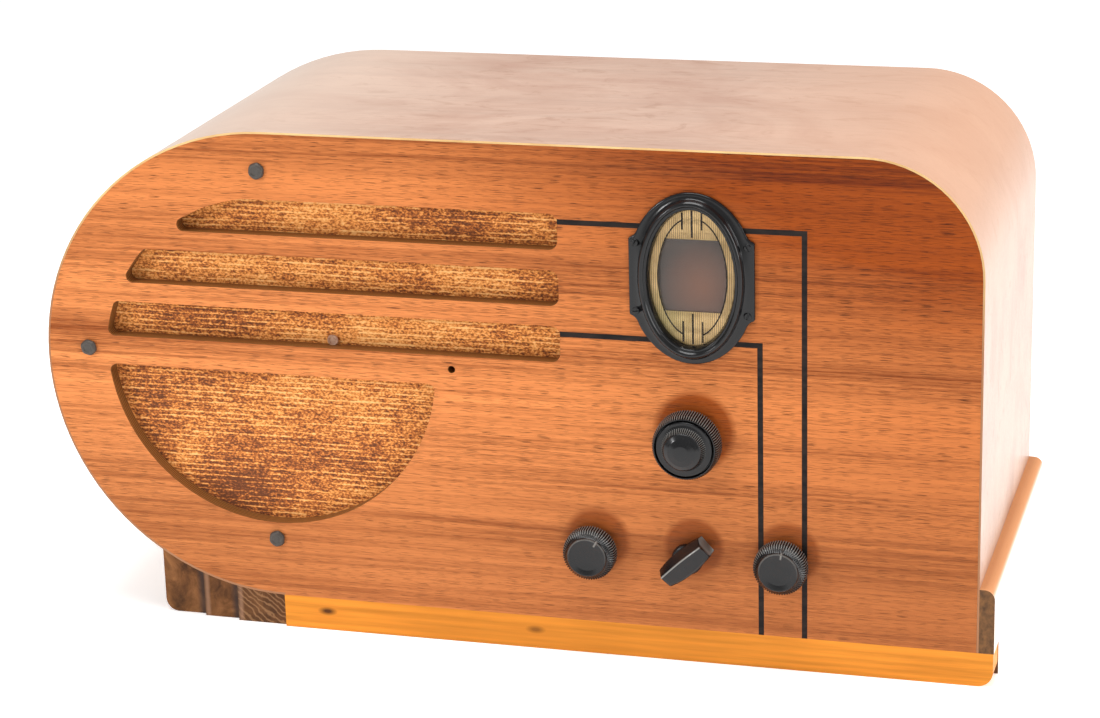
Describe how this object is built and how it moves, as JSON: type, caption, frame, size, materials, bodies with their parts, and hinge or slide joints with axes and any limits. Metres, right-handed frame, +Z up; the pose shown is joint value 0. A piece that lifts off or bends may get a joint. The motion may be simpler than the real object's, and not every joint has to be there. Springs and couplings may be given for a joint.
{
  "type": "tabletop radio",
  "caption": "Bullet-shaped wooden tabletop radio: slotted grille and half moon, oval dial, twin tuning knobs, three controls, open-backed chassis and loudspeaker.",
  "frame": {"origin": "middle of the bounding box on the surface the radio stands on", "axes": "+X to the right along the face, +Y from the face to the open back, +Z up"},
  "size_m": [0.5738, 0.252, 0.3089],
  "materials": {
    "front_veneer": "oiled veneer, straight grain",
    "shell_veneer": "worn veneer, satin",
    "case_board": "raw board",
    "raw_pine": "sanded pine, satin",
    "trim_wood": "sanded, satin",
    "stained_block": "dark stain, saw marks",
    "inlay_black": "ebonised strip",
    "grille_cloth": "woven gold and brown",
    "dark_steel": "aged, dull",
    "moulded_black": "polished moulding",
    "clear_window": "aged clear sheet",
    "gilt_mask": "brushed gilt print",
    "zinc_steel": "dull plate",
    "lamp_glass": "clear bulb",
    "celluloid": "translucent brown",
    "brass": "turned, dulled",
    "aluminium": "oxidised",
    "bright_steel": "turned",
    "wafer_board": "resin board",
    "cone_felt": "felt and cloth",
    "grey_paint": "crackle paint",
    "cone_paper": "pressed paper",
    "coil_winding": "enamelled wire",
    "core_steel": "black enamel",
    "chassis_steel": "cadmium plate, dull",
    "rubber": "aged",
    "tube_base_brown": "moulded brown",
    "tube_glass": "clear, silvered at the top"
  },
  "bodies": {
    "cabinet": {"front_panel": "front_veneer", "cabinet_shell": "shell_veneer", "bottom_board": "case_board", "front_rail": "raw_pine", "rear_rail": "raw_pine", "right_side_trim": "trim_wood", "left_foot_outer": "stained_block", "left_foot_middle": "stained_block", "left_foot_inner": "stained_block", "glue_blocks": "raw_pine", "inlay_outer": "inlay_black", "inlay_inner": "inlay_black", "grille_cloth": "grille_cloth", "speaker_baffle_board": "case_board", "baffle_bolts": "dark_steel", "escutcheon": "moulded_black", "escutcheon_screws": "dark_steel", "dial_glass": "clear_window", "dial_mask": "gilt_mask", "lamp_bracket": "zinc_steel", "dial_lamp": "lamp_glass", "gang_stators": "aluminium", "gang_frame": "zinc_steel", "gang_stand": "zinc_steel", "ball_drive_housing": "brass", "volume_control": "zinc_steel", "tone_control": "zinc_steel", "band_switch": "wafer_board", "speaker_surround": "cone_felt", "speaker_basket": "grey_paint", "speaker_screws": "bright_steel", "speaker_spider": "cone_felt", "field_pot": "grey_paint", "field_coil": "coil_winding", "output_transformer": "core_steel", "chassis": "chassis_steel", "chassis_cushions": "rubber", "chassis_bolts": "dark_steel", "cord_grommet": "rubber", "power_transformer": "core_steel", "filter_condensers": "aluminium", "coil_can_shields": "aluminium", "tube_sockets": "wafer_board", "tube_bases": "tube_base_brown", "tube_envelopes": "tube_glass"},
    "gang": {"gang_rotor": "aluminium", "drive_gear": "brass", "dial_disc": "celluloid"},
    "fast_tuning": {"fast_tuning_knob": "moulded_black", "tuning_sleeve": "brass", "drive_balls": "bright_steel"},
    "slow_tuning": {"slow_tuning_knob": "moulded_black", "tuning_spindle": "bright_steel"},
    "volume": {"volume_knob": "moulded_black", "volume_shaft": "bright_steel"},
    "tone": {"tone_knob": "moulded_black", "tone_shaft": "bright_steel"},
    "band": {"band_switch_knob": "moulded_black", "band_switch_shaft": "bright_steel"},
    "cone": {"speaker_cone": "cone_paper"}
  },
  "joints": [
    {"name": "gang_turn", "type": "hinge", "parent": "cabinet", "child": "gang", "pos_m": [0.1107, -0.042, 0.2024], "axis": [0, 1, 0], "range_deg": [-90, 90]},
    {"name": "fast_tuning_turn", "type": "hinge", "parent": "cabinet", "child": "fast_tuning", "pos_m": [0.1107, -0.102, 0.1374], "axis": [0, 1, 0], "range_deg": [-360, 360]},
    {"name": "slow_tuning_turn", "type": "hinge", "parent": "cabinet", "child": "slow_tuning", "pos_m": [0.1107, -0.102, 0.1374], "axis": [0, 1, 0], "range_deg": [-1800, 1800]},
    {"name": "volume_turn", "type": "hinge", "parent": "cabinet", "child": "volume", "pos_m": [0.0515, -0.102, 0.0661], "axis": [0, 1, 0], "range_deg": [-181, 119]},
    {"name": "tone_turn", "type": "hinge", "parent": "cabinet", "child": "tone", "pos_m": [0.1647, -0.102, 0.0661], "axis": [0, 1, 0], "range_deg": [-160, 140]},
    {"name": "band_switch_turn", "type": "hinge", "parent": "cabinet", "child": "band", "pos_m": [0.1094, -0.102, 0.0661], "axis": [0, 1, 0], "range_deg": [0, 60]},
    {"name": "cone_travel", "type": "slide", "parent": "cabinet", "child": "cone", "axis": [0, 1, 0], "range_m": [-0.001, 0.001], "stiffness_N_per_m": 1200}
  ],
  "couplings": [
    {"joint": "fast_tuning_turn", "follows": "gang_turn", "ratio": -4},
    {"joint": "slow_tuning_turn", "follows": "gang_turn", "ratio": -20}
  ]
}
